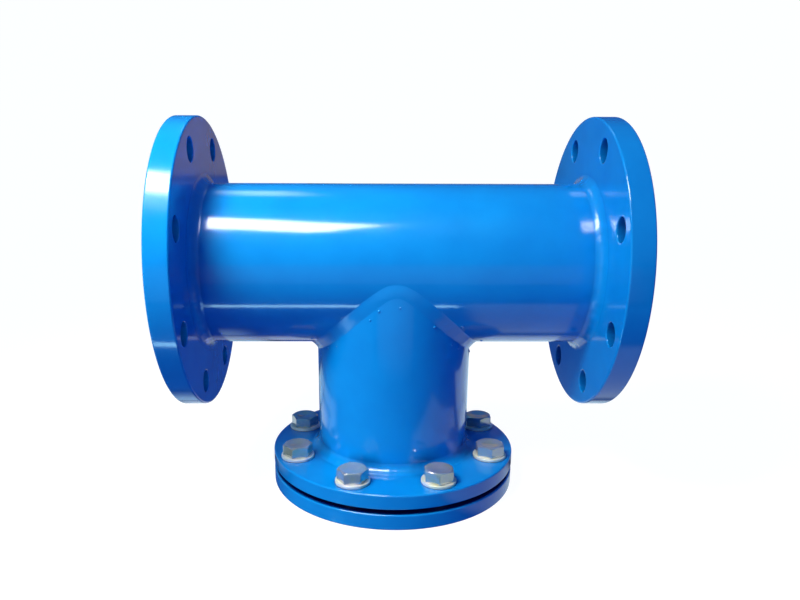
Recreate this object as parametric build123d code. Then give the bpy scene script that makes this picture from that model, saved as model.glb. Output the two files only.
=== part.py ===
from build123d import *
from math import cos, hypot, pi, radians, sin, sqrt, tan
import os

# A tee strainer of welded steel. Its run lies along X and its branch points down.
# Millimetres. The origin is the centre of the cover's underside, on which it stands.

# Pipes
pipe_od = 159.0
pipe_wall = 4.5
run_length = 425.0          # face to face, over both raised faces
axis_to_neck_face = 212.0   # from the run's axis down to the neck flange's sealing face
pipe_setback = 6.0          # how far each pipe end lies inside its flange's face

# End flanges, nominal size 150 at 16 bar
end_flange_reach = 63.0     # from the pipe's outside to the rim
end_flange_rim = 22.0       # the rim's thickness
end_edge = 22.5             # from the bolt circle to the rim
end_hole_d = 22.0
end_bolt_count = 8
end_face_height = 2.0
end_face_margin = 3.0       # from the raised face to the bolt holes

# Neck flange and blind cover
neck_edge = 21.0            # from the bolt circle to the rim
neck_flange_rim = 15.0
neck_face_height = 2.0
cover_thickness = 16.0
gasket_thickness = 3.0
cover_bolt_count = 8
rim_chamfer = 1.5           # on the rims of all flanges and of the cover

# Cover bolts and washers, thread size 18
bolt_d = 18.0
bolt_length = 35.0
bolt_head_width = 27.0
bolt_head_height = 11.5
bolt_top_share = 0.95        # the flat top's diameter as a share of the head's width
bolt_chamfer_angle = 30.0
washer_od = 34.0
washer_thickness = 3.0
# how far each head is turned, starting at the bolt nearest +X and going anticlockwise
bolt_head_turns = (8.0, 21.0, 4.0, 17.0, 52.0, 52.5, 37.5, 52.5)

# Clearances
bore_gap = 1.0              # between a pipe and its flange's bore, on the radius
bolt_hole_gap = 1.0         # between a bolt and its hole in the neck flange, on the radius
washer_gap = 0.5            # between a bolt and its washer, on the radius
thread_gap = 0.1            # between a bolt and its tapped hole, on the radius
washer_to_weld = 2.5        # between a washer and the toe of the weld above the neck flange
sealing_margin = 1.0        # from the sealing faces to the edge of the cover's bolt holes
basket_gap = 3.0            # between the basket and the branch, on the radius
mouth_gap = 1.0             # between the basket's mouth and the run's inner wall

# Welds
weld_leg = 9.0
inner_weld_leg = 4.5
weld_hollow = 0.8           # how far the face of a ring weld is hollowed, at its middle
saddle_leg = 9.0
saddle_crown = 2.2          # height of the bead where the two pipes lie side by side
saddle_throat = 4.8         # height of the bead in the crotch
saddle_top_drop = 15.0      # how far below the run's axis the saddle's tips are cut off
saddle_root = 2.5           # how deep the bead is lofted into the pipes before it is trimmed
saddle_toe_sink = 0.3
saddle_sections = 9         # sections in a quarter of the bead

# Basket
basket_wall = 1.5
lining_thickness = 1.0
rim_width = 10.0
rim_thickness = 2.0
base_ring_height = 30.0
base_ring_thickness = 3.0
floor_thickness = 2.0
handle_width = 14.0
handle_thickness = 3.0
handle_span = 80.0
handle_drop = 24.0
handle_bend = 8.0
hole_across = 12.0          # across the flats of the six-sided perforations
hole_columns = 18
hole_row_pitch = 21.5
hole_edge = 5.0             # least sheet left between a perforation and a rim or the floor

# Radii and levels that follow from the sizes above
pipe_r = pipe_od / 2
pipe_inner_r = pipe_r - pipe_wall
bore_r = pipe_r + bore_gap
end_flange_od = pipe_od + 2 * end_flange_reach
end_bolt_circle = end_flange_od - 2 * end_edge
end_face_od = end_bolt_circle - end_hole_d - 2 * end_face_margin
cover_bolt_circle = pipe_od + 2 * (weld_leg + washer_to_weld) + washer_od
neck_flange_od = cover_bolt_circle + 2 * neck_edge
bolt_r = bolt_d / 2
neck_hole_r = bolt_r + bolt_hole_gap
sealing_r = cover_bolt_circle / 2 - neck_hole_r - sealing_margin
gasket_z = cover_thickness
neck_face_z = gasket_z + gasket_thickness
neck_plate_z = neck_face_z + neck_face_height
neck_top_z = neck_plate_z + neck_flange_rim
axis_z = neck_face_z + axis_to_neck_face
saddle_top_z = axis_z - saddle_top_drop
branch_end_z = neck_face_z + pipe_setback
end_x = run_length / 2
pipe_end_x = end_x - pipe_setback
rim_outer_x = end_x - end_face_height
rim_inner_x = rim_outer_x - end_flange_rim
basket_r = pipe_inner_r - basket_gap
basket_inner_r = basket_r - basket_wall
lining_inner_r = basket_inner_r - lining_thickness
mouth_r = pipe_inner_r - mouth_gap
window_r = mouth_r - rim_width
floor_z = cover_thickness + base_ring_height
floor_top_z = floor_z + floor_thickness


def disc(radius, low, high):
    """A round bar on the vertical axis, between two levels."""
    return Pos(0, 0, low) * Cylinder(radius, high - low, align=(Align.CENTER, Align.CENTER, Align.MIN))


def ring(outer, inner, low, high):
    return disc(outer, low, high) - disc(inner, low, high)


def plate(radius, low, high):
    """A disc with both edges of its rim chamfered."""
    blank = disc(radius, low, high)
    return chamfer(blank.edges().filter_by(GeomType.CIRCLE), rim_chamfer)


def run_bar(radius, low, high):
    """A round bar on the run's axis, between two places along it."""
    along = Plane(origin=(low, 0, axis_z), x_dir=(0, 1, 0), z_dir=(1, 0, 0))
    return along * Cylinder(radius, high - low, align=(Align.CENTER, Align.CENTER, Align.MIN))


def on_circle(circle_d, count):
    """Places on a bolt circle, straddling the centre lines."""
    return PolarLocations(circle_d / 2, count, start_angle=180 / count)


def fillet_ring(radius, level, leg):
    """A fillet weld round the vertical axis. Its corner is at this radius and level, and a positive leg
    goes outwards and up, a negative one inwards and down."""
    corner = Vector(radius, 0, level)
    side_toe = corner + Vector(leg, 0, 0)
    end_toe = corner + Vector(0, 0, leg)
    middle = (side_toe + end_toe) / 2
    hollow = middle + (corner - middle).normalized() * weld_hollow
    section = Wire([
        Edge.make_line(corner, side_toe),
        Edge.make_three_point_arc(side_toe, hollow, end_toe),
        Edge.make_line(end_toe, corner),
    ])
    return revolve(Face(section), Axis.Z)


def turned_to_run(shape, at_x, facing):
    """Moves a shape from the vertical axis to the run's axis, its +Z to facing (+1 or -1 along X)."""
    end = Plane(origin=(at_x, 0, axis_z), x_dir=(0, 1, 0), z_dir=(facing, 0, 0))
    return end * shape


# Body

def run_pipe():
    pipe = run_bar(pipe_r, -pipe_end_x, pipe_end_x) - run_bar(pipe_inner_r, -pipe_end_x, pipe_end_x)
    return pipe - disc(pipe_inner_r, branch_end_z, saddle_top_z)


def branch_pipe():
    """The branch, cut to sit on the run, with the thin tips of its saddle taken off."""
    pipe = ring(pipe_r, pipe_inner_r, branch_end_z, saddle_top_z)
    return pipe - run_bar(pipe_r, -end_x, end_x)


def end_flange():
    """A slip-on flange with its sealing face at level 0, looking along +Z."""
    rim = plate(end_flange_od / 2, -end_face_height - end_flange_rim, -end_face_height)
    face = disc(end_face_od / 2, -end_face_height, 0)
    flange = rim + face - disc(bore_r, -end_face_height - end_flange_rim, 0)
    hole = Cylinder(end_hole_d / 2, 4 * end_flange_rim)
    return flange - [place * hole for place in on_circle(end_bolt_circle, end_bolt_count)]


def neck_flange():
    flange = plate(neck_flange_od / 2, neck_plate_z, neck_top_z) + disc(sealing_r, neck_face_z, neck_plate_z)
    flange -= disc(bore_r, neck_face_z, neck_top_z)
    hole = disc(neck_hole_r, neck_face_z, neck_top_z)
    return flange - [place * hole for place in on_circle(cover_bolt_circle, cover_bolt_count)]


def outer_weld(level):
    """The fillet weld on a pipe above a flange whose back is at this level."""
    return fillet_ring(pipe_r, level, weld_leg)


def inner_weld(level):
    """The fillet weld below a pipe's end at this level, inside a flange's bore."""
    return fillet_ring(bore_r, level, -inner_weld_leg)


# Saddle weld

def saddle_point(turn):
    """A point of the joint between the pipes, at an angle round the branch from the front (-Y)."""
    reach = pipe_r * sin(turn)
    share = 1 - (saddle_top_drop / pipe_r) ** 2
    drop = sqrt(share * reach ** 2 + saddle_top_drop ** 2)
    return Vector(reach, -pipe_r * cos(turn), axis_z - drop)


def saddle_section(turn):
    """The bead's section across the joint: toes on the two pipes, a crown and a root."""
    small = 1e-4
    root = saddle_point(turn)
    along = (saddle_point(turn + small) - saddle_point(turn - small)).normalized()
    off_run = Vector(0, root.Y, root.Z - axis_z)
    off_run = (off_run - along * off_run.dot(along)).normalized()
    off_branch = Vector(sin(turn), -cos(turn), 0)
    toe_on_run = root - along.cross(off_run) * saddle_leg
    toe_on_branch = root + along.cross(off_branch) * saddle_leg
    proud_of_run = hypot(toe_on_run.Y, toe_on_run.Z - axis_z) - pipe_r
    proud_of_branch = hypot(toe_on_branch.X, toe_on_branch.Y) - pipe_r
    toe_on_run -= off_run * (proud_of_run + saddle_toe_sink)
    toe_on_branch -= off_branch * (proud_of_branch + saddle_toe_sink)
    outward = (off_run + off_branch).normalized()
    height = saddle_crown + (saddle_throat - saddle_crown) * sin(turn) ** 2
    crown = root + outward * height
    inside = root - outward * saddle_root
    outline = Wire([
        Edge.make_three_point_arc(toe_on_run, crown, toe_on_branch),
        Edge.make_line(toe_on_branch, inside),
        Edge.make_line(inside, toe_on_run),
    ])
    return outline


def saddle_weld(run, branch):
    """The bead round the saddle: a quarter is lofted, mirrored twice and trimmed by the pipes."""
    turns = [pi / 2 * i / (saddle_sections - 1) for i in range(saddle_sections)]
    quarter = Solid.make_loft([saddle_section(turn) for turn in turns])
    half = quarter + mirror(quarter, about=Plane.YZ)
    bead = half + mirror(half, about=Plane.XZ)
    return bead - run - branch


# Cover and fasteners

def cover():
    blank = plate(neck_flange_od / 2, 0, cover_thickness)
    hole = disc(bolt_r + thread_gap, 0, cover_thickness)
    return blank - [place * hole for place in on_circle(cover_bolt_circle, cover_bolt_count)]


def cover_gasket():
    return ring(sealing_r, bore_r, gasket_z, neck_face_z)


def bolt(turn):
    """A hex-head bolt with the underside of its head at level 0, its shank downwards."""
    across = RegularPolygon(bolt_head_width / 2, 6, major_radius=False, rotation=turn)
    head = extrude(across, bolt_head_height)
    top_r = bolt_top_share * bolt_head_width / 2
    full_r = bolt_head_width
    drop = (full_r - top_r) * tan(radians(bolt_chamfer_angle))
    outline = [(0, -drop), (full_r, -drop), (full_r, bolt_head_height - drop), (top_r, bolt_head_height)]
    blank = make_face(Polyline([(r, 0, z) for r, z in outline + [(0, bolt_head_height)]], close=True))
    head &= revolve(blank, Axis.Z)
    return head + disc(bolt_r, -bolt_length, 0)


def cover_bolts():
    seats = on_circle(cover_bolt_circle, cover_bolt_count)
    lift = Pos(0, 0, neck_top_z + washer_thickness)
    turns = [bolt_head_turns[i % len(bolt_head_turns)] for i in range(cover_bolt_count)]
    return [seat * lift * bolt(turn) for seat, turn in zip(seats, turns)]


def cover_washers():
    washer = ring(washer_od / 2, bolt_r + washer_gap, neck_top_z, neck_top_z + washer_thickness)
    return [seat * washer for seat in on_circle(cover_bolt_circle, cover_bolt_count)]


# Basket

def perforation_fits(turn, level):
    """Whether a perforation at this angle from +X and level clears the floor, the rim and the window."""
    reach = hole_across / sqrt(3) + hole_edge
    off_axis = hypot(basket_r * sin(turn), level - axis_z)
    if level - reach < floor_top_z:
        return False
    if cos(turn) < -1e-6 and level < axis_z:
        return off_axis > mouth_r + reach
    if cos(turn) < 1e-6:
        return level + reach < axis_z - mouth_r
    return level + reach < axis_z or off_axis < window_r - reach


def perforations():
    """Six-sided punches, in rows that are staggered by half a pitch."""
    punch = extrude(RegularPolygon(hole_across / 2, 6, major_radius=False, rotation=30), 4 * basket_wall)
    rows = int((axis_z + pipe_r - floor_top_z) / hole_row_pitch)
    punches = []
    for row in range(rows):
        level = floor_top_z + hole_edge + hole_across / 2 + hole_row_pitch * (row + 0.1)
        for column in range(hole_columns):
            turn = 2 * pi * (column + 0.5 * (row % 2)) / hole_columns
            if perforation_fits(turn, level):
                start = (basket_inner_r - basket_wall) * Vector(cos(turn), sin(turn), 0) + Vector(0, 0, level)
                out = Plane(origin=start, x_dir=(-sin(turn), cos(turn), 0), z_dir=(cos(turn), sin(turn), 0))
                punches.append(out * punch)
    return punches


def inlet_window():
    return run_bar(window_r, -pipe_od, 0)


def windowed_tube(outer, inner, low):
    """A tube whose mouth follows the run's inner wall, with a round window to the inlet."""
    below_axis = ring(outer, inner, low, axis_z)
    tube = ring(outer, inner, low, axis_z + pipe_r)
    return below_axis + (tube & run_bar(mouth_r, -pipe_od, pipe_od)) - inlet_window()


def basket_screen():
    """The rolled sheet, which holds the base ring and the floor in its foot."""
    return windowed_tube(basket_r, basket_inner_r, cover_thickness) - perforations()


def basket_lining():
    """The sleeve of woven wire inside the sheet, as a plain tube that stands on the floor."""
    return windowed_tube(basket_inner_r, lining_inner_r, floor_top_z)


def basket_rim():
    """The band inside the mouth, which goes on round the window and holds the lining."""
    band = ring(lining_inner_r, lining_inner_r - rim_thickness, floor_top_z, axis_z + pipe_r)
    band = (band & run_bar(mouth_r, -pipe_od, pipe_od)) - run_bar(window_r, -pipe_od, pipe_od)
    lower_outlet_side = Pos(0, 0, axis_z) * Box(
        pipe_od, 2 * pipe_od, 2 * pipe_od, align=(Align.MIN, Align.CENTER, Align.MAX)
    )
    return band - lower_outlet_side


def basket_base_ring():
    return ring(basket_inner_r, basket_inner_r - base_ring_thickness, cover_thickness, floor_z)


def basket_floor():
    return disc(basket_inner_r, floor_z, floor_top_z)


def basket_handle():
    """A bent strap, its two ends on the underside of the floor."""
    reach = handle_span / 2
    corners = [(-reach, floor_z), (-reach, floor_z - handle_drop), (reach, floor_z - handle_drop), (reach, floor_z)]
    path = FilletPolyline([(x, 0, z) for x, z in corners], radius=handle_bend)
    start = Plane(origin=path @ 0, z_dir=path % 0)
    return sweep(start * Rectangle(handle_thickness, handle_width), path=path)


def pieces():
    """Every piece by its node's name."""
    run = run_pipe()
    branch = branch_pipe()
    return {
        "run_pipe": run,
        "branch_pipe": branch,
        "saddle_weld": saddle_weld(run, branch),
        "inlet_flange": turned_to_run(end_flange(), -end_x, -1),
        "outlet_flange": turned_to_run(end_flange(), end_x, 1),
        "inlet_weld": turned_to_run(outer_weld(0), -rim_inner_x, 1),
        "outlet_weld": turned_to_run(outer_weld(0), rim_inner_x, -1),
        "inlet_inner_weld": turned_to_run(inner_weld(0), -pipe_end_x, 1),
        "outlet_inner_weld": turned_to_run(inner_weld(0), pipe_end_x, -1),
        "neck_flange": neck_flange(),
        "neck_weld": outer_weld(neck_top_z),
        "neck_inner_weld": inner_weld(branch_end_z),
        "cover": cover(),
        "cover_gasket": cover_gasket(),
        "cover_bolts": Compound(children=cover_bolts()),
        "cover_washers": Compound(children=cover_washers()),
        "basket_screen": basket_screen(),
        "basket_lining": basket_lining(),
        "basket_rim": basket_rim(),
        "basket_base_ring": basket_base_ring(),
        "basket_floor": basket_floor(),
        "basket_handle": basket_handle(),
    }


os.makedirs("parts", exist_ok=True)
for name, piece in pieces().items():
    export_step(piece, f"parts/{name}.step")
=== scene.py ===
from math import cos, pi, radians, sin, sqrt, tan

import bmesh
import bpy
from mathutils import Matrix, Vector
from mathutils.geometry import delaunay_2d_cdt


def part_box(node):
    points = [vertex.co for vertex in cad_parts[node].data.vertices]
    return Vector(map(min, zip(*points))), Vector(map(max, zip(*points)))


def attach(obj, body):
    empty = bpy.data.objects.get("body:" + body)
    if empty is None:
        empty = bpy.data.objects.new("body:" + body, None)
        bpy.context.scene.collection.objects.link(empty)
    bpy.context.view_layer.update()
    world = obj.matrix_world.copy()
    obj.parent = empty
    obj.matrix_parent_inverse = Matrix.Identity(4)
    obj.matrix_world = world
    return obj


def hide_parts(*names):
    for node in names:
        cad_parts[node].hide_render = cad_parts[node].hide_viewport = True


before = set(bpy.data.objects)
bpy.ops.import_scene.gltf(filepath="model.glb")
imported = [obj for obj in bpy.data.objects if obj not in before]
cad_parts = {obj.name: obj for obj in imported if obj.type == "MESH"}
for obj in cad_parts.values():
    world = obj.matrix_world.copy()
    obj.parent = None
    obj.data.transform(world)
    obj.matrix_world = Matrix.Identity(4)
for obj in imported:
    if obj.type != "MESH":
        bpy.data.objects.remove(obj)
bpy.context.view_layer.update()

# Looks of a tee strainer. Metres, in the frame of the solids: the run along X, the branch below it.
MM = 0.001

# Sizes read from the solids
run_low, run_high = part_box("run_pipe")
branch_low, branch_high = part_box("branch_pipe")
end_low, end_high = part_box("outlet_flange")
weld_low, weld_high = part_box("outlet_weld")
inner_weld_low, inner_weld_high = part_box("outlet_inner_weld")
neck_low, neck_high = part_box("neck_flange")
_, cover_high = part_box("cover")
gasket_low, gasket_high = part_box("cover_gasket")
_, washer_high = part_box("cover_washers")
bolt_low, bolt_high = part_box("cover_bolts")

pipe_r = (branch_high.x - branch_low.x) / 2
axis_z = (run_high.z + run_low.z) / 2
pipe_end_x = run_high.x
end_flange_r = (end_high.y - end_low.y) / 2
end_face_x = end_high.x
end_back_x = end_low.x
weld_leg = weld_high.x - weld_low.x
inner_weld_leg = inner_weld_high.x - inner_weld_low.x
neck_r = (neck_high.x - neck_low.x) / 2
neck_top_z = neck_high.z
neck_face_z = neck_low.z
cover_top_z = cover_high.z
sealing_r = (gasket_high.x - gasket_low.x) / 2
branch_end_z = branch_low.z
saddle_top_z = branch_high.z
washer_top_z = washer_high.z
bolt_top_z = bolt_high.z
bolt_end_z = bolt_low.z

# Sizes that the boxes don't give
pipe_wall = 4.5 * MM
pipe_inner_r = pipe_r - pipe_wall
bore_r = pipe_r + 1.0 * MM
end_bolt_circle_r = 120.0 * MM
end_hole_r = 11.0 * MM
end_raised_r = 106.0 * MM
face_height = 2.0 * MM
neck_bolt_circle_r = 108.0 * MM
neck_hole_r = 10.0 * MM
tapped_hole_r = 9.1 * MM
washer_r = 17.0 * MM
washer_hole_r = 9.5 * MM
bolt_r = 9.0 * MM
bolt_head_width = 27.0 * MM
bolt_head_turns = (8.0, 21.0, 4.0, 17.0, 52.0, 52.5, 37.5, 52.5)   # degrees, the same as the solids'
bolt_count = 8

# Edges, as the thick enamel rounds them
rim_round = 1.7 * MM
hole_round = 1.2 * MM
step_round = 0.4 * MM
edge_band = 0.05 * MM   # a narrow flat band between a rounded edge and the face beside it

# The bead round the saddle: its leg on each pipe, its swelling at the front and at the sides, its depth
saddle_leg = 9.0 * MM
saddle_crown = 0.5 * MM
saddle_throat = 1.3 * MM
saddle_root = 2.5 * MM

# Shared finish of the meshes
round_steps = 5
pipe_segments = 192
rim_segments = 256
hole_segments = 48


# Mesh helpers

def mesh_of(name, points, faces):
    """A closed mesh from points and faces, with doubled points joined and its faces turned outwards."""
    mesh = bpy.data.meshes.new(name)
    mesh.from_pydata([tuple(p) for p in points], [], [tuple(int(i) for i in f) for f in faces])
    work = bmesh.new()
    work.from_mesh(mesh)
    bmesh.ops.remove_doubles(work, verts=work.verts, dist=1e-6)
    bmesh.ops.recalc_face_normals(work, faces=work.faces)
    work.to_mesh(mesh)
    work.free()
    return mesh


def grid_faces(rows, columns, first=0, close_rows=False):
    """Quads between the neighbours of a grid of points that is stored row after row, each row a ring."""
    faces = []
    for i in range(rows if close_rows else rows - 1):
        this_row = first + i * columns
        next_row = first + (i + 1) % rows * columns
        for j in range(columns):
            k = (j + 1) % columns
            faces.append((this_row + j, this_row + k, next_row + k, next_row + j))
    return faces


def full_turn(count):
    """Evenly spaced angles round a circle."""
    return [2 * pi * i / count for i in range(count)]


def circle_points(x, y, radius, count, level):
    """A ring of points round (x, y) at one level."""
    return [(x + radius * cos(a), y + radius * sin(a), level) for a in full_turn(count)]


def place(name, mesh, material, nodes, sharp=40.0):
    """Puts a mesh in the scene as a piece that stands for some nodes of the solids, or for none.
    Edges that turn by more than the sharp angle, in degrees, aren't smoothed."""
    mesh.shade_smooth()
    mesh.set_sharp_from_angle(angle=radians(sharp))
    piece = bpy.data.objects.new(name, mesh)
    bpy.context.scene.collection.objects.link(piece)
    piece.data.materials.append(material)
    weighted = piece.modifiers.new("Weighted normals", "WEIGHTED_NORMAL")
    weighted.keep_sharp = True
    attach(piece, "root")
    if nodes:
        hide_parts(*nodes)


def joined(name, meshes):
    """One mesh from several."""
    work = bmesh.new()
    for mesh in meshes:
        work.from_mesh(mesh)
        bpy.data.meshes.remove(mesh)
    made = bpy.data.meshes.new(name)
    work.to_mesh(made)
    work.free()
    return made


def on_run(at_x, facing):
    """The place on the run's axis whose local +Z looks along X, facing +1 or -1."""
    z_dir = Vector((facing, 0, 0))
    x_dir = Vector((0, 1, 0))
    y_dir = z_dir.cross(x_dir)
    turn = Matrix((x_dir, y_dir, z_dir)).transposed().to_4x4()
    return Matrix.Translation((at_x, 0, axis_z)) @ turn


def bolt_places(circle_r):
    """Angles and centres on a bolt circle, straddling the centre lines."""
    turns = [2 * pi * (i + 0.5) / bolt_count for i in range(bolt_count)]
    return [(turn, circle_r * cos(turn), circle_r * sin(turn)) for turn in turns]


def ripple(turn, waves, seed):
    """A smooth uneven wave between about -1 and 1, from waves that fit a full turn a whole number of times."""
    shift, fall, gain = 1.7, 0.5, 1.4
    value = 0.0
    for k, wave in enumerate(waves):
        value += sin(wave * turn + seed * (k + shift)) / (1 + fall * k)
    return value / len(waves) * gain


# Plates: flanges and cover

def wall_profile(high, low, rounding):
    """The section of a wall between two planes, as (distance from the wall, level), with rounded edges."""
    upper = [(rounding * (1 - sin(a)), high - rounding * (1 - cos(a))) for a in quarter_steps()]
    lower = [(rounding * (1 - sin(a)), low + rounding * (1 - cos(a))) for a in quarter_steps()]
    return [(rounding + edge_band, high)] + upper + lower[::-1] + [(rounding + edge_band, low)]


def quarter_steps():
    """The angles of a rounded edge's section."""
    return [pi / 2 * i / round_steps for i in range(round_steps + 1)]


def inner_points(outer_r, holes, level):
    """Points spread over a plate's flat side, so that its triangles keep a good shape.
    The holes are (x, y, radius), and no point comes nearer to one, or to the rim, than the margin."""
    spacing, margin = 7.0 * MM, 3.0 * MM
    made = []
    for ring in range(1, int((outer_r - margin) / spacing) + 1):
        radius = ring * spacing
        for x, y, z in circle_points(0, 0, radius, int(2 * pi * radius / spacing), level):
            if all((x - at_x) ** 2 + (y - at_y) ** 2 > (r + margin) ** 2 for at_x, at_y, r in holes):
                made.append((x, y, z))
    return made


def cap_faces(points, rings, holes):
    """Triangles that fill a plane between its rim, which is the first ring, and the rings of its holes.
    Points inside the plane are added to the list of points. The holes are (x, y, radius)."""
    index = [i for ring in rings for i in ring]
    rim_r, _, level = points[rings[0][0]]
    added = inner_points(rim_r, holes, level)
    index += range(len(points), len(points) + len(added))
    points += added
    flat = [Vector(points[i][:2]) for i in index]
    edges = []
    hole_of = {}
    start = 0
    for number, ring in enumerate(rings):
        edges += [(start + i, start + (i + 1) % len(ring)) for i in range(len(ring))]
        if number:
            hole_of.update({start + i: number for i in range(len(ring))})
        start += len(ring)
    triangles_inside, tolerance = 1, 1e-9
    result = delaunay_2d_cdt(flat, edges, [], triangles_inside, tolerance)
    faces, origins = result[2], result[3]
    kept = []
    for face in faces:
        # a triangle with all its corners on one hole's ring lies in that hole
        on_rings = {hole_of.get(origins[i][0]) for i in face}
        if len(on_rings) > 1 or None in on_rings:
            kept.append(tuple(index[origins[i][0]] for i in face))
    return kept


def rim_wall(radius):
    """The wall of a plate's rim, for holed_plate."""
    return (0, 0, radius, True, rim_round, rim_segments)


def hole_walls(circle_r, radius, rounding):
    """The walls of the holes on a bolt circle, for holed_plate."""
    return [(x, y, radius, False, rounding, hole_segments) for _, x, y in bolt_places(circle_r)]


def holed_plate(walls, high, low, bore=None):
    """A plate between two levels. Each wall is (x, y, radius, is the rim, rounding, points round it).
    A bore is (radius, rounding, points round it, the profile of the raised face that leads to it)."""
    points, faces, holes = [], [], []
    top_rings, bottom_rings = [], []

    def add_wall(x, y, section, count):
        """A wall round (x, y), from its edge on the top to its edge on the bottom."""
        first = len(points)
        for radius, level in section:
            points.extend(circle_points(x, y, radius, count, level))
        faces.extend(grid_faces(len(section), count, first))
        top_rings.append(list(range(first, first + count)))
        bottom_rings.append(list(range(len(points) - count, len(points))))

    for x, y, radius, is_rim, rounding, count in walls:
        away = -1 if is_rim else 1
        section = [(radius + away * inset, level) for inset, level in wall_profile(high, low, rounding)]
        add_wall(x, y, section, count)
        if not is_rim:
            holes.append((x, y, section[0][0]))
    top_holes, bottom_holes = list(holes), list(holes)
    if bore:
        radius, rounding, count, face_rows = bore
        wall = wall_profile(face_rows[-1][1], low, rounding)
        section = face_rows + [(radius + inset, level) for inset, level in wall]
        add_wall(0, 0, section, count)
        top_holes.append((0, 0, section[0][0]))
        bottom_holes.append((0, 0, section[-1][0]))
    faces += cap_faces(points, top_rings, top_holes)
    faces += cap_faces(points, bottom_rings, bottom_holes)
    return points, faces


def raised_face(outer_r, high, groove_radii):
    """The section of a raised sealing face with round grooves, from its foot inwards."""
    groove_half, groove_depth = 0.6 * MM, 0.35 * MM
    foot = high - face_height
    rows = [(outer_r + step_round + edge_band, foot)]
    rows += [(outer_r + step_round * (1 - sin(a)), foot + step_round * (1 - cos(a))) for a in quarter_steps()]
    rows += [(outer_r - step_round * (1 - cos(a)), high - step_round * (1 - sin(a))) for a in quarter_steps()]
    for radius in groove_radii:
        rows += [(radius + groove_half, high), (radius, high - groove_depth), (radius - groove_half, high)]
    return rows


def end_flange(name, node, facing, material):
    """A slip-on flange: its sealing face is at local level 0 and looks along +Z."""
    walls = [rim_wall(end_flange_r)] + hole_walls(end_bolt_circle_r, end_hole_r, hole_round)
    face = raised_face(end_raised_r, 0.0, [end_raised_r - inset * MM for inset in (7.0, 12.0, 17.0)])
    bore = (bore_r, hole_round, rim_segments, face)
    points, faces = holed_plate(walls, -face_height, end_back_x - end_face_x, bore)
    mesh = mesh_of(name, points, faces)
    mesh.transform(on_run(facing * end_face_x, facing))
    place(name, mesh, material, [node])


def neck_flange(material):
    """The branch's flange, whose raised face looks down."""
    walls = [rim_wall(neck_r)] + hole_walls(neck_bolt_circle_r, neck_hole_r, step_round)
    face = raised_face(sealing_r, 0.0, [sealing_r - inset * MM for inset in (5.0, 9.0)])
    bore = (bore_r, hole_round, rim_segments, face)
    points, faces = holed_plate(walls, -face_height, neck_face_z - neck_top_z, bore)
    mesh = mesh_of("neck_flange_enamelled", points, faces)
    mesh.transform(Matrix.Translation((0, 0, neck_face_z)) @ Matrix.Rotation(pi, 4, "X"))
    place("neck_flange_enamelled", mesh, material, ["neck_flange"])


def cover(material):
    """The blind cover with its tapped holes."""
    walls = [rim_wall(neck_r)] + hole_walls(neck_bolt_circle_r, tapped_hole_r, step_round)
    points, faces = holed_plate(walls, cover_top_z, 0.0)
    mesh = mesh_of("cover_enamelled", points, faces)
    place("cover_enamelled", mesh, material, ["cover"])


# Pipes

def tube_solid(name, rows_outer, rows_inner):
    """A closed tube from rows of points on its outside and its inside, in the same order."""
    columns = len(rows_outer[0])
    rows = rows_outer + rows_inner[::-1]
    points = [p for row in rows for p in row]
    return mesh_of(name, points, grid_faces(len(rows), columns, close_rows=True))


def run_pipe(material):
    """The run, with the opening into the branch cut by a cylinder of the branch's inner size."""
    length_steps = 84
    turns = full_turn(pipe_segments)
    stations = [pipe_end_x * (2 * i / length_steps - 1) for i in range(length_steps + 1)]
    outer = [[(x, pipe_r * cos(a), axis_z + pipe_r * sin(a)) for a in turns] for x in stations]
    inner = [[(x, pipe_inner_r * cos(a), axis_z + pipe_inner_r * sin(a)) for a in turns] for x in stations]
    mesh = tube_solid("run_pipe_enamelled", outer, inner)
    levels = (axis_z - 1.5 * pipe_r, saddle_top_z)
    cutter_points = [p for level in levels for p in circle_points(0, 0, pipe_inner_r, pipe_segments, level)]
    caps = [tuple(range(pipe_segments)), tuple(range(pipe_segments, 2 * pipe_segments))]
    cutter_mesh = mesh_of("cutter", cutter_points, grid_faces(2, pipe_segments) + caps)
    mesh = cut("run_pipe_enamelled", mesh, cutter_mesh)
    place("run_pipe_enamelled", mesh, material, ["run_pipe"])


def cut(name, mesh, cutter_mesh):
    """The mesh less the cutter, as a new mesh."""
    body = bpy.data.objects.new("body", mesh)
    cutter = bpy.data.objects.new("cutter", cutter_mesh)
    for thing in (body, cutter):
        bpy.context.scene.collection.objects.link(thing)
    boolean = body.modifiers.new("cut", "BOOLEAN")
    boolean.operation = "DIFFERENCE"
    boolean.solver = "EXACT"
    boolean.object = cutter
    shown = bpy.context.evaluated_depsgraph_get()
    made = bpy.data.meshes.new_from_object(body.evaluated_get(shown))
    made.name = name
    for thing in (body, cutter):
        bpy.data.objects.remove(thing)
    return made


def branch_top(radius, turn):
    """The level where the branch's wall at this radius meets the run's outside, at a turn from the front."""
    across = radius * cos(turn)
    return min(axis_z - sqrt(max(pipe_r ** 2 - across ** 2, 0.0)), saddle_top_z)


def branch_pipe(material):
    """The branch, its end cut to the run's saddle."""
    level_steps = 40
    turns = full_turn(pipe_segments)

    def rows(radius):
        """Rings up the wall at one radius, flat at the bottom and a saddle at the top."""
        made = []
        for k in range(level_steps + 1):
            share = k / level_steps
            row = []
            for a in turns:
                height = branch_top(radius, a) - branch_end_z
                row.append((radius * sin(a), -radius * cos(a), branch_end_z + share * height))
            made.append(row)
        return made

    mesh = tube_solid("branch_pipe_enamelled", rows(pipe_r), rows(pipe_inner_r))
    place("branch_pipe_enamelled", mesh, material, ["branch_pipe"])


# Welds under enamel

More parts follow.
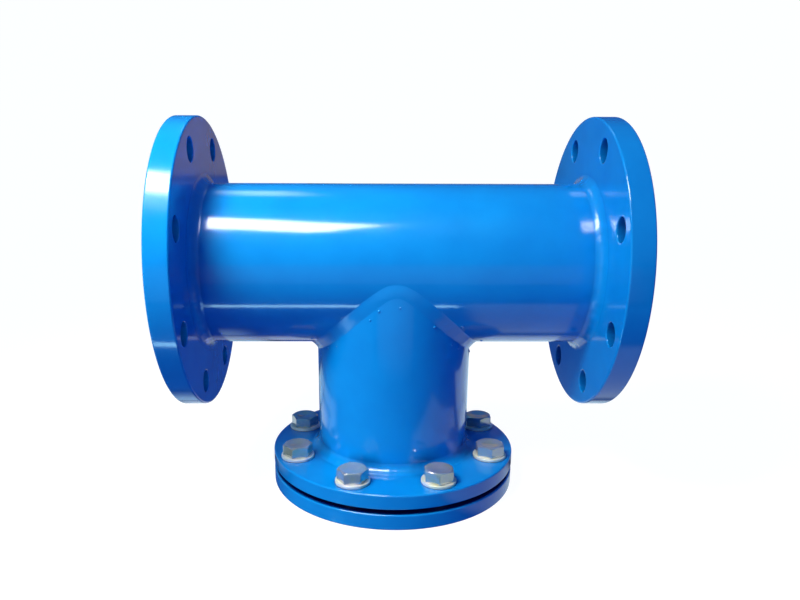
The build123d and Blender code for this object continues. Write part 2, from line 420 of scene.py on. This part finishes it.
def ring_weld(name, node, matrix, inner_radius, leg, outwards, seed, material):
    """A fillet weld round a pipe: its foot lies on local level 0, and it rises along +Z.
    Outwards is +1 for a weld outside the pipe, -1 for one inside a bore."""
    turns = full_turn(rim_segments)
    section_steps = 12
    leg_ripple = 0.04
    hollow, hollow_ripple = 3.3, 0.20   # a power of 2 gives a straight face, a higher one a hollow face
    sink = 0.4 * MM
    rows = []
    for k in range(section_steps + 1):
        a = pi / 2 * k / section_steps
        row = []
        for turn in turns:
            # a hollow curve that runs into the pipe and the flange without an edge
            reach = leg * (1 + leg_ripple * ripple(turn, (7, 17, 31), seed))
            rise = leg * (1 + leg_ripple * ripple(turn, (5, 13, 37), seed + 2))
            power = hollow + hollow_ripple * ripple(turn, (29, 47, 71), seed + 4)
            out = reach * abs(cos(a)) ** power
            up = rise * abs(sin(a)) ** power
            radius = inner_radius + outwards * out
            row.append((radius * cos(turn), radius * sin(turn), up))
        rows.append(row)
    hidden = [(-sink, leg), (-sink, -sink), (leg, -sink)]
    rows += [circle_points(0, 0, inner_radius + outwards * out, rim_segments, up) for out, up in hidden]
    points = [p for row in rows for p in row]
    mesh = mesh_of(name, points, grid_faces(len(rows), rim_segments, close_rows=True))
    mesh.transform(matrix)
    place(name, mesh, material, [node])


def saddle_point(turn):
    """A point of the joint between the pipes, at an angle round the branch from the front."""
    reach = pipe_r * sin(turn)
    drop_at_top = axis_z - saddle_top_z
    share = 1 - (drop_at_top / pipe_r) ** 2
    drop = sqrt(share * reach ** 2 + drop_at_top ** 2)
    return Vector((reach, -pipe_r * cos(turn), axis_z - drop))


def sunk_in_run(point, sink):
    """The point moved square to the run's axis until it lies a little below the run's outside."""
    from_axis = Vector((0, point.y, point.z - axis_z))
    return Vector((point.x, 0, axis_z)) + from_axis.normalized() * (pipe_r - sink)


def sunk_in_branch(point, sink):
    """The point moved square to the branch's axis until it lies a little below the branch's outside."""
    from_axis = Vector((point.x, point.y, 0)).normalized() * (pipe_r - sink)
    return Vector((from_axis.x, from_axis.y, point.z))


def saddle_section(turn, steps):
    """The bead's section: a blend from the toe on the run to the toe on the branch, a swelling and a root."""
    leg_ripple, height_ripple = 0.05, 0.10
    sink = 0.3 * MM
    small_turn = 1e-4
    root = saddle_point(turn)
    along = (saddle_point(turn + small_turn) - saddle_point(turn - small_turn)).normalized()
    off_run = Vector((0, root.y, root.z - axis_z))
    off_run = (off_run - along * off_run.dot(along)).normalized()
    off_branch = Vector((sin(turn), -cos(turn), 0))
    leg = saddle_leg * (1 + leg_ripple * ripple(turn, (9, 23, 41), 1.3))
    toe_on_run = sunk_in_run(root - along.cross(off_run) * leg, sink)
    toe_on_branch = sunk_in_branch(root + along.cross(off_branch) * leg, sink)
    outward = (off_run + off_branch).normalized()
    height = saddle_crown + (saddle_throat - saddle_crown) * sin(turn) ** 2
    height *= 1 + height_ripple * ripple(turn, (37, 61, 89), 0.7)
    rows = []
    for k in range(steps + 1):
        t = k / steps
        blend = toe_on_run * (1 - t) ** 2 + root * (2 * t * (1 - t)) + toe_on_branch * t ** 2
        rows.append(blend + outward * (height * sin(pi * t) ** 2))
    rows.append(root - outward * saddle_root)
    return rows


def saddle_weld(material):
    """The bead round the saddle, with its ripples."""
    steps = 14
    around = 720
    columns = [saddle_section(2 * pi * i / around, steps) for i in range(around)]
    rows = [[column[k] for column in columns] for k in range(steps + 2)]
    points = [p for row in rows for p in row]
    mesh = mesh_of("saddle_bead", points, grid_faces(len(rows), around, close_rows=True))
    place("saddle_bead", mesh, material, ["saddle_weld"])


def weld_spatter(material):
    """Small drops of weld metal under the enamel, on both sides of the saddle bead."""
    drops = 44
    smallest, size_range = 0.8, 0.7   # millimetres
    nearest, distance_range = 1.15, 0.55   # shares of the saddle bead's leg
    bare_below = 0.35   # for the turn's sine: near its front and back the run has no drops
    scatter = 0.8   # of the step from one drop to the next
    made = []
    for i in range(drops):
        # sines of the drop's number make the places and sizes uneven
        turn = 2 * pi * (i + scatter * sin(5.1 * i)) / drops
        size = (smallest + size_range * sin(3.7 * i) ** 2) * MM
        away = saddle_leg * (nearest + distance_range * sin(7.3 * i) ** 2)
        root = saddle_point(turn)
        if i % 2:
            foot = Vector((root.x, root.y, root.z - away))
            made.append(drop_mesh(foot, Vector((sin(turn), -cos(turn), 0)), size))
        elif abs(sin(turn)) > bare_below:
            normal = Vector((0, root.y, root.z - axis_z)).normalized()
            foot = Vector((root.x + (away if root.x >= 0 else -away), 0, axis_z)) + normal * pipe_r
            made.append(drop_mesh(foot, normal, size))
    place("weld_spatter", joined("weld_spatter", made), material, [])


def drop_mesh(foot, normal, size):
    """A low round drop on a surface, its foot sunk a little below it."""
    columns = 14
    section = ((1.35, -0.30), (1.0, 0.02), (0.82, 0.30), (0.5, 0.52), (0.2, 0.61))   # shares of the size
    points = [p for out, up in section for p in circle_points(0, 0, size * out, columns, size * up)]
    caps = [tuple(range(columns)), tuple(range(len(points) - columns, len(points)))]
    mesh = mesh_of("drop", points, grid_faces(len(section), columns) + caps)
    mesh.transform(Matrix.Translation(foot) @ normal.to_track_quat("Z", "Y").to_matrix().to_4x4())
    return mesh


# Cover gasket and fasteners

def turned(name, profile, segments):
    """A closed ring turned round the vertical axis from a closed profile of (radius, level)."""
    points = [p for radius, level in profile for p in circle_points(0, 0, radius, segments, level)]
    return mesh_of(name, points, grid_faces(len(profile), segments, close_rows=True))


def rounded_section(inner, outer, low, high, rounding):
    """The closed section of a washer or a gasket with rounded edges."""
    steps = 4
    corners = ((outer, high, pi / 2), (outer, low, 0.0), (inner, low, -pi / 2), (inner, high, pi))
    rows = []
    for radius, level, start in corners:
        middle_r = radius - rounding if radius == outer else radius + rounding
        middle_z = level - rounding if level == high else level + rounding
        for k in range(steps + 1):
            a = start - pi / 2 * k / steps
            rows.append((middle_r + rounding * cos(a), middle_z + rounding * sin(a)))
    return rows


def gasket(material):
    """The ring between the neck flange and the cover."""
    section = rounded_section(bore_r, sealing_r, cover_top_z, neck_face_z, 0.4 * MM)
    mesh = turned("gasket_ring", section, rim_segments)
    place("gasket_ring", mesh, material, ["cover_gasket"])


def washers(material):
    """The washers on the neck flange, as one piece."""
    washer_segments = 72
    section = rounded_section(washer_hole_r, washer_r, neck_top_z, washer_top_z, 0.6 * MM)
    made = []
    for _, x, y in bolt_places(neck_bolt_circle_r):
        mesh = turned("washer", section, washer_segments)
        mesh.transform(Matrix.Translation((x, y, 0)))
        made.append(mesh)
    place("washer_set", joined("washer_set", made), material, ["cover_washers"])


def hex_radius(turn, across):
    """The radius of a six-sided outline with slightly rounded corners."""
    sharpness = 70
    total = sum(max(0.0, cos(turn - pi / 3 * k) / (across / 2)) ** sharpness for k in range(6))
    return total ** (-1 / sharpness)


def polar_row(turns, radii, levels):
    """A ring of points from a radius and a level for each angle."""
    return [(radius * cos(a), radius * sin(a), level) for a, radius, level in zip(turns, radii, levels)]


def head_rows(turns, height):
    """The bolt's head, from the middle of its dished top out over the chamfer and down to its underside."""
    columns = len(turns)
    top_r = 0.475 * bolt_head_width
    rim_r = 0.80 * top_r
    dish, dish_steps = 1.2 * MM, 8
    slope = tan(radians(30))
    underside = ((0.0, 0.9 * MM), (0.25 * MM, 0.3 * MM), (0.9 * MM, 0.0))   # (inset, level)
    rows = []
    for k in range(dish_steps + 1):
        share = k / dish_steps
        rows.append(circle_points(0, 0, rim_r * share, columns, height - dish * (1 - share ** 2) ** 2))
    rows.append(circle_points(0, 0, top_r, columns, height))
    for share in (0.35, 0.7, 1.0):
        full = [max(hex_radius(a, bolt_head_width), top_r) for a in turns]
        radii = [top_r + (radius - top_r) * share for radius in full]
        rows.append(polar_row(turns, radii, [height - (radius - top_r) * slope for radius in radii]))
    for inset, level in underside:
        radii = [hex_radius(a, bolt_head_width) - inset for a in turns]
        rows.append(polar_row(turns, radii, [level] * columns))
    return rows


def shank_rows(turns, end):
    """The bolt's shank, plain below the head and then threaded down to its end."""
    columns = len(turns)
    plain, pitch, depth = 6.0 * MM, 2.5 * MM, 1.3 * MM
    point_inset, point_height = 2.2 * MM, 1.2 * MM
    steps_per_pitch = 4
    rows = [circle_points(0, 0, bolt_r, columns, 0.0), circle_points(0, 0, bolt_r, columns, -plain)]
    for k in range(int((-plain - end - pitch) / pitch * steps_per_pitch)):
        level = -plain - (k + 1) * pitch / steps_per_pitch
        run_in = min(1.0, (k + 1) / steps_per_pitch)
        radii = []
        for a in turns:
            phase = ((level / pitch) - a / (2 * pi)) % 1.0
            cutting = 1 - abs(2 * phase - 1)
            radii.append(bolt_r - depth * cutting * run_in)
        rows.append(polar_row(turns, radii, [level] * columns))
    rows.append(circle_points(0, 0, bolt_r - depth, columns, end + point_height))
    rows.append(circle_points(0, 0, bolt_r - point_inset, columns, end))
    rows.append([(0.0, 0.0, end)] * columns)
    return rows


def bolt_mesh():
    """A hex-head bolt with the underside of its head at level 0."""
    bolt_segments = 144
    turns = full_turn(bolt_segments)
    rows = head_rows(turns, bolt_top_z - washer_top_z) + shank_rows(turns, bolt_end_z - washer_top_z)
    points = [p for row in rows for p in row]
    return mesh_of("bolt", points, grid_faces(len(rows), len(turns)))


def bolts(material):
    """The cover's bolts, each with its own turn, as one piece."""
    corner_to_flat = 30   # degrees: a head's turn is that of a corner, and bolt_mesh has a flat at 0
    made = []
    for (turn, x, y), head_turn in zip(bolt_places(neck_bolt_circle_r), bolt_head_turns):
        mesh = bolt_mesh()
        flat_turn = turn + radians(head_turn + corner_to_flat)
        mesh.transform(Matrix.Translation((x, y, washer_top_z)) @ Matrix.Rotation(flat_turn, 4, "Z"))
        made.append(mesh)
    place("bolt_set", joined("bolt_set", made), material, ["cover_bolts"], sharp=28.0)


# Materials

def new_material(name):
    """A new material, its node tree and its shader."""
    material = bpy.data.materials.new(name)
    material.use_nodes = True
    tree = material.node_tree
    return material, tree, tree.nodes["Principled BSDF"]


def noise(tree, scale, detail=4.0, roughness=0.5, stretch=None):
    """A noise in the object's own coordinates. A stretch squeezes it along the axes."""
    where = tree.nodes.new("ShaderNodeTexCoord")
    made = tree.nodes.new("ShaderNodeTexNoise")
    made.inputs["Scale"].default_value = scale
    made.inputs["Detail"].default_value = detail
    made.inputs["Roughness"].default_value = roughness
    if stretch:
        mapping = tree.nodes.new("ShaderNodeMapping")
        mapping.inputs["Scale"].default_value = stretch
        tree.links.new(where.outputs["Object"], mapping.inputs["Vector"])
        tree.links.new(mapping.outputs["Vector"], made.inputs["Vector"])
    else:
        tree.links.new(where.outputs["Object"], made.inputs["Vector"])
    return made.outputs["Fac"]


def ramp(tree, value, stops):
    """A colour ramp from (place, colour) stops."""
    made = tree.nodes.new("ShaderNodeValToRGB")
    elements = made.color_ramp.elements
    while len(elements) < len(stops):
        elements.new(0.5)
    for element, (at, colour) in zip(elements, stops):
        element.position = at
        element.color = (*colour, 1.0)
    tree.links.new(value, made.inputs["Fac"])
    return made.outputs["Color"]


def grey(value):
    """A colour without a hue."""
    return (value, value, value)


def bump(tree, height, strength, distance, under=None):
    """The normal of a surface that a height raises by up to the distance, on top of another bump if any."""
    made = tree.nodes.new("ShaderNodeBump")
    made.inputs["Strength"].default_value = strength
    made.inputs["Distance"].default_value = distance
    tree.links.new(height, made.inputs["Height"])
    if under is not None:
        tree.links.new(under, made.inputs["Normal"])
    return made.outputs["Normal"]


def math_node(tree, operation, *inputs):
    """The result of an operation on numbers and on other nodes' outputs."""
    made = tree.nodes.new("ShaderNodeMath")
    made.operation = operation
    for socket, value in zip(made.inputs, inputs):
        if isinstance(value, float):
            socket.default_value = value
        else:
            tree.links.new(value, socket)
    return made.outputs["Value"]


def painted_nook_shade(tree, tone):
    """The enamel's tone with painted shade: ambient occlusion darkens it in holes, gaps and corners."""
    nook = tree.nodes.new("ShaderNodeAmbientOcclusion")
    nook.inputs["Distance"].default_value = 22 * MM
    tone_with_painted_shade = tree.nodes.new("ShaderNodeMix")
    tone_with_painted_shade.data_type = "RGBA"
    tone_with_painted_shade.blend_type = "MULTIPLY"
    tone_with_painted_shade.inputs["Factor"].default_value = 1.0
    # painted shade: dark navy deep in a nook, the full tone in the open
    shade = ramp(tree, nook.outputs["AO"], [(0.32, (0.1, 0.04, 0.20)), (0.82, grey(1.0))])
    tree.links.new(tone, tone_with_painted_shade.inputs["A"])
    tree.links.new(shade, tone_with_painted_shade.inputs["B"])
    return tone_with_painted_shade.outputs["Result"]


def enamel(name, coat_roughness):
    """Thick glossy azure enamel: slight orange peel, slow waves, faint changes of tone and painted shade in
    its nooks.
    """
    material, tree, shader = new_material(name)
    tone = ramp(tree, noise(tree, 22.0, 3.0), [(0.3, (0.0008, 0.196, 0.62)), (0.7, (0.0012, 0.230, 0.68))])
    gloss = ramp(tree, noise(tree, 60.0, 3.0), [(0.35, grey(0.20)), (0.7, grey(0.27))])
    peel = bump(tree, noise(tree, 420.0, 2.0), 0.10, 0.10 * MM)
    waves = bump(tree, noise(tree, 35.0, 2.0), 0.30, 0.40 * MM, peel)
    # the base colour carries painted shade, darker in holes, gaps and corners
    tree.links.new(painted_nook_shade(tree, tone), shader.inputs["Base Color"])
    tree.links.new(gloss, shader.inputs["Roughness"])
    tree.links.new(waves, shader.inputs["Normal"])
    tree.links.new(waves, shader.inputs["Coat Normal"])
    shader.inputs["Specular IOR Level"].default_value = 0.20
    shader.inputs["Coat Weight"].default_value = 1.0
    shader.inputs["Coat Roughness"].default_value = coat_roughness
    shader.inputs["Coat IOR"].default_value = 1.5
    return material


def zinc(name, tone, metallic, low_roughness, high_roughness):
    """Zinc plate with a faint film that shifts between straw and lilac."""
    straw, clear, lilac = (1.0, 0.92, 0.72), (1.0, 0.97, 0.92), (0.96, 0.90, 1.0)
    stops = [(at, [tone * c for c in colour]) for at, colour in ((0.35, straw), (0.5, clear), (0.65, lilac))]
    material, tree, shader = new_material(name)
    film = ramp(tree, noise(tree, 75.0, 2.0), stops)
    gloss = ramp(tree, noise(tree, 260.0, 3.0), [(0.3, grey(low_roughness)), (0.7, grey(high_roughness))])
    tree.links.new(film, shader.inputs["Base Color"])
    tree.links.new(gloss, shader.inputs["Roughness"])
    tree.links.new(bump(tree, noise(tree, 420.0, 2.0), 0.05, 0.05 * MM), shader.inputs["Normal"])
    shader.inputs["Metallic"].default_value = metallic
    return material


def sheet_rubber():
    """Matt black gasket sheet."""
    material, tree, shader = new_material("gasket_sheet")
    tone = ramp(tree, noise(tree, 300.0, 4.0), [(0.3, grey(0.012)), (0.7, grey(0.03))])
    tree.links.new(tone, shader.inputs["Base Color"])
    tree.links.new(bump(tree, noise(tree, 1200.0, 3.0), 0.3, 0.1 * MM), shader.inputs["Normal"])
    shader.inputs["Roughness"].default_value = 0.7
    return material


def stainless():
    """Satin stainless sheet, brushed level, round the basket."""
    material, tree, shader = new_material("satin_stainless")
    brushed = noise(tree, 60.0, 4.0, 0.6, (1.0, 1.0, 14.0))
    tone = ramp(tree, brushed, [(0.3, (0.48, 0.48, 0.47)), (0.7, (0.66, 0.66, 0.64))])
    gloss = ramp(tree, brushed, [(0.3, grey(0.26)), (0.7, grey(0.38))])
    tree.links.new(tone, shader.inputs["Base Color"])
    tree.links.new(gloss, shader.inputs["Roughness"])
    tree.links.new(bump(tree, brushed, 0.2, 0.08 * MM), shader.inputs["Normal"])
    shader.inputs["Metallic"].default_value = 1.0
    return material


def woven_wire():
    """Fine stainless cloth: wires that cross round the branch's axis and along it."""
    waves_round, waves_along = 420.0, 6500.0   # per radian, and per metre
    material, tree, shader = new_material("woven_stainless")
    where = tree.nodes.new("ShaderNodeNewGeometry")
    parts = tree.nodes.new("ShaderNodeSeparateXYZ")
    tree.links.new(where.outputs["Position"], parts.inputs["Vector"])
    turn = math_node(tree, "ARCTAN2", parts.outputs["Y"], parts.outputs["X"])
    upright = math_node(tree, "SINE", math_node(tree, "MULTIPLY", turn, waves_round))
    level = math_node(tree, "SINE", math_node(tree, "MULTIPLY", parts.outputs["Z"], waves_along))
    cloth = math_node(tree, "MULTIPLY", upright, level)
    tone = ramp(tree, cloth, [(0.0, grey(0.16)), (0.25, grey(0.55))])
    tree.links.new(tone, shader.inputs["Base Color"])
    tree.links.new(bump(tree, cloth, 0.4, 0.15 * MM), shader.inputs["Normal"])
    shader.inputs["Metallic"].default_value = 1.0
    shader.inputs["Roughness"].default_value = 0.38
    return material


def paint_nodes(material, nodes):
    """Gives a finish to the solids that keep their own meshes."""
    for node in nodes:
        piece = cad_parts[node]
        piece.data.materials.clear()
        piece.data.materials.append(material)


# Stage, light and camera

def backdrop():
    """A pale round floor that curves up into a wall on all sides."""
    flat_r, bend, wall_top, segments, bend_steps = 3.0, 1.6, 6.0, 96, 24
    section = [(0.001, 0.0), (0.5, 0.0), (flat_r, 0.0)]
    for k in range(1, bend_steps + 1):
        a = pi / 2 * k / bend_steps
        section.append((flat_r + bend * sin(a), bend * (1 - cos(a))))
    section.append((flat_r + bend, wall_top))
    points = [p for radius, level in section for p in circle_points(0, 0, radius, segments, level)]
    mesh = bpy.data.meshes.new("pale_backdrop")
    mesh.from_pydata(points, [], grid_faces(len(section), segments) + [tuple(range(segments))])
    mesh.shade_smooth()
    stage = bpy.data.objects.new("pale_backdrop", mesh)
    bpy.context.scene.collection.objects.link(stage)
    material, tree, shader = new_material("pale_backdrop")
    shader.inputs["Base Color"].default_value = (0.16, 0.16, 0.16, 1.0)
    shader.inputs["Roughness"].default_value = 0.9
    shader.inputs["Specular IOR Level"].default_value = 0.0
    shader.inputs["Emission Color"].default_value = (1.0, 1.0, 1.0, 1.0)
    shader.inputs["Emission Strength"].default_value = 0.97
    mesh.materials.append(material)
    stage.visible_diffuse = False
    stage.visible_glossy = False
    stage.visible_shadow = False


def area_light(name, at, towards, width, height, power, colour, spread=180.0):
    """A rectangular lamp that reflections don't show. Its spread is in degrees."""
    data = bpy.data.lights.new(name, "AREA")
    data.shape = "RECTANGLE"
    data.size = width
    data.size_y = height
    data.energy = power
    data.color = colour
    data.spread = radians(spread)
    light = bpy.data.objects.new(name, data)
    bpy.context.scene.collection.objects.link(light)
    light.location = at
    light.rotation_euler = (Vector(towards) - Vector(at)).to_track_quat("-Z", "Y").to_euler()
    light.visible_glossy = False


def fade(tree, value, start):
    """A smooth fall from 1 to 0 while the size of a value goes from the start to 1."""
    fall = tree.nodes.new("ShaderNodeMapRange")
    fall.interpolation_type = "SMOOTHSTEP"
    fall.inputs["From Min"].default_value = start
    fall.inputs["To Min"].default_value = 1.0
    fall.inputs["To Max"].default_value = 0.0
    tree.links.new(math_node(tree, "ABSOLUTE", value), fall.inputs["Value"])
    return fall.outputs["Result"]


def soft_glow(name, colour, strength, full):
    """A material that glows in full up to these shares of a card's halves and fades out to its edges."""
    material = bpy.data.materials.new(name)
    material.use_nodes = True
    tree = material.node_tree
    tree.nodes.clear()
    where = tree.nodes.new("ShaderNodeTexCoord")
    split = tree.nodes.new("ShaderNodeSeparateXYZ")
    tree.links.new(where.outputs["Object"], split.inputs["Vector"])
    across = fade(tree, split.outputs["X"], full[0])
    upwards = fade(tree, split.outputs["Y"], full[1])
    both = math_node(tree, "MULTIPLY", across, upwards)
    glow = tree.nodes.new("ShaderNodeEmission")
    glow.inputs["Color"].default_value = (*colour, 1.0)
    tree.links.new(math_node(tree, "MULTIPLY", both, strength), glow.inputs["Strength"])
    output = tree.nodes.new("ShaderNodeOutputMaterial")
    tree.links.new(glow.outputs["Emission"], output.inputs["Surface"])
    return material


def reflection_card(name, at, towards, width, height, colour, strength, full):
    """A glowing plane with soft edges that only reflections see."""
    mesh = bpy.data.meshes.new(name)
    mesh.from_pydata([(-1, -1, 0), (1, -1, 0), (1, 1, 0), (-1, 1, 0)], [], [(0, 1, 2, 3)])
    card = bpy.data.objects.new(name, mesh)
    bpy.context.scene.collection.objects.link(card)
    card.location = at
    card.rotation_euler = (Vector(towards) - Vector(at)).to_track_quat("Z", "Y").to_euler()
    card.scale = (width / 2, height / 2, 1.0)
    mesh.materials.append(soft_glow(name, colour, strength, full))
    card.visible_camera = False
    card.visible_diffuse = False
    card.visible_shadow = False
    card.visible_transmission = False


def ground_card(name, x, y, width, depth, colour, strength, full):
    """A card that lies just under the floor and glows upwards."""
    reflection_card(name, (x, y, -0.01), (x, y, 1.0), width, depth, colour, strength, full)


def dome():
    """Soft sky-blue light from all sides, deepest from the back right."""
    world = bpy.data.worlds.new("dome")
    bpy.context.scene.world = world
    world.use_nodes = True
    tree = world.node_tree
    where = tree.nodes.new("ShaderNodeTexCoord")
    # from 0 on the dark side, low and to the back right, to 1 on the light side
    side = tree.nodes.new("ShaderNodeVectorMath")
    side.operation = "DOT_PRODUCT"
    side.inputs[1].default_value = Vector((-0.62, -0.50, 0.60))
    tree.links.new(where.outputs["Generated"], side.inputs[0])
    share = tree.nodes.new("ShaderNodeMapRange")
    share.inputs["From Min"].default_value = -1.0
    tree.links.new(side.outputs["Value"], share.inputs["Value"])
    colour = ramp(tree, share.outputs["Result"], [
        (0.00, (0.03, 0.09, 0.40)),
        (0.40, (0.03, 0.13, 0.46)),
        (0.65, (0.07, 0.24, 0.52)),
        (1.00, (0.10, 0.40, 0.62)),
    ])
    background = tree.nodes["Background"]
    tree.links.new(colour, background.inputs["Color"])
    background.inputs["Strength"].default_value = 0.86


def lights():
    """The lamps, and the cards that stand for the bright and dark places of the room."""
    area_light("key", at=(-0.45, -0.42, 0.92), towards=(-0.12, -0.05, 0.24), width=0.30, height=0.30,
               power=3.0, colour=(1.0, 1.0, 0.80), spread=80.0)
    area_light("left_fill", at=(-1.30, -0.90, 0.35), towards=(0.0, 0.0, 0.15), width=0.9, height=0.7,
               power=6.6, colour=(0.85, 1.0, 0.90))
    reflection_card("overhead_strip", at=(-0.62, -0.74, 1.90), towards=(-0.12, -0.04, 0.30), width=1.36,
                    height=0.64, colour=(1.0, 1.0, 1.0), strength=24.0, full=(0.84, 0.40))
    reflection_card("high_back_left", at=(-0.46, 1.23, 2.11), towards=(-0.13, 0.02, 0.31), width=0.50,
                    height=0.80, colour=(0.8, 0.95, 1.0), strength=3.0, full=(0.1, 0.3))
    reflection_card("low_front", at=(-0.61, -0.94, -1.0), towards=(-0.61, -0.94, 0.0), width=1.79,
                    height=0.16, colour=(0.42, 0.85, 1.0), strength=9.0, full=(0.92, 0.55))
    reflection_card("dim_front", at=(0.0, -1.60, 0.05), towards=(0.0, 0.0, 0.15), width=1.8,
                    height=0.9, colour=(0.20, 0.17, 0.13), strength=1.0, full=(0.7, 0.7))
    ground_card("ground_behind", x=0.0, y=0.13, width=0.60, depth=0.16,
                colour=(0.72, 0.84, 1.0), strength=0.9, full=(0.8, 0.5))
    ground_card("ground_left", x=-0.27, y=0.17, width=0.22, depth=0.44,
                colour=(0.50, 0.80, 1.0), strength=0.9, full=(0.6, 0.7))
    ground_card("ground_right", x=0.38, y=0.26, width=0.54, depth=0.46,
                colour=(0.60, 0.84, 1.0), strength=0.95, full=(0.9, 0.8))
    ground_card("ground_right_front", x=0.22, y=-0.12, width=0.26, depth=0.32,
                colour=(0.66, 0.86, 1.0), strength=0.65, full=(0.8, 0.7))
    reflection_card("grey_wall", at=(0.20, 1.50, 0.44), towards=(-0.2, 0.0, 0.35), width=0.90,
                    height=0.34, colour=(0.64, 0.60, 0.64), strength=0.36, full=(0.6, 0.95))


def camera():
    """The camera at the photograph's viewing angle. Its sizes in pixels are of an 800 by 600 picture."""
    width, height = 800, 600
    place_mm = Vector((-23.4, -695.7, 337.2))
    yaw, pitch, roll = radians(0.541), radians(-16.263), radians(0.197)
    focal_px, centre_x_px, centre_y_px = 682.6, 377.6, 354.5
    forward = Vector((sin(yaw) * cos(pitch), cos(yaw) * cos(pitch), sin(pitch)))
    level = Vector((cos(yaw), -sin(yaw), 0))
    upright = level.cross(forward)
    right = level * cos(roll) + upright * sin(roll)
    up = upright * cos(roll) - level * sin(roll)
    data = bpy.data.cameras.new("camera")
    data.sensor_width = 36.0
    data.lens = focal_px * data.sensor_width / width
    data.shift_x = (width / 2 - centre_x_px) / width
    data.shift_y = (centre_y_px - height / 2) / width
    data.clip_start = 0.01
    made = bpy.data.objects.new("camera", data)
    bpy.context.scene.collection.objects.link(made)
    turn = Matrix((right, up, -forward)).transposed().to_4x4()
    made.matrix_world = Matrix.Translation(place_mm * MM) @ turn
    bpy.context.scene.camera = made


def flange_welds(material):
    """The fillet welds round the pipes behind the flanges, and those in the bores on the pipes' ends."""
    on_neck = Matrix.Translation((0, 0, neck_top_z))
    in_neck = Matrix.Translation((0, 0, branch_end_z)) @ Matrix.Rotation(pi, 4, "X")
    outer = (
        ("inlet", on_run(-end_back_x, 1), 3.1),
        ("outlet", on_run(end_back_x, -1), 5.7),
        ("neck", on_neck, 8.3),
    )
    inner = (
        ("inlet_inner", on_run(-pipe_end_x, -1), 2.2),
        ("outlet_inner", on_run(pipe_end_x, 1), 4.4),
        ("neck_inner", in_neck, 6.6),
    )
    for name, matrix, seed in outer:
        ring_weld(f"{name}_bead", f"{name}_weld", matrix, pipe_r, weld_leg, 1, seed, material)
    for name, matrix, seed in inner:
        ring_weld(f"{name}_bead", f"{name}_weld", matrix, bore_r, inner_weld_leg, -1, seed, material)


def body():
    """The enamelled pieces."""
    paint = enamel("azure_enamel", coat_roughness=0.09)
    weld_paint = enamel("azure_enamel_on_welds", coat_roughness=0.22)
    run_pipe(paint)
    branch_pipe(paint)
    saddle_weld(weld_paint)
    weld_spatter(paint)
    end_flange("inlet_flange_enamelled", "inlet_flange", -1, paint)
    end_flange("outlet_flange_enamelled", "outlet_flange", 1, paint)
    flange_welds(weld_paint)
    neck_flange(paint)
    cover(paint)


def fasteners():
    """The cover's bolts, washers and gasket."""
    bolts(zinc("bright_zinc", tone=0.62, metallic=0.76, low_roughness=0.13, high_roughness=0.22))
    washers(zinc("satin_zinc", tone=0.78, metallic=0.40, low_roughness=0.34, high_roughness=0.46))
    gasket(sheet_rubber())


def basket():
    """The basket's pieces, which keep the solids' own meshes."""
    sheet_nodes = ["basket_screen", "basket_rim", "basket_base_ring", "basket_floor", "basket_handle"]
    paint_nodes(stainless(), sheet_nodes)
    paint_nodes(woven_wire(), ["basket_lining"])


body()
fasteners()
basket()
backdrop()
dome()
lights()
camera()
bpy.context.scene.view_settings.view_transform = "Standard"
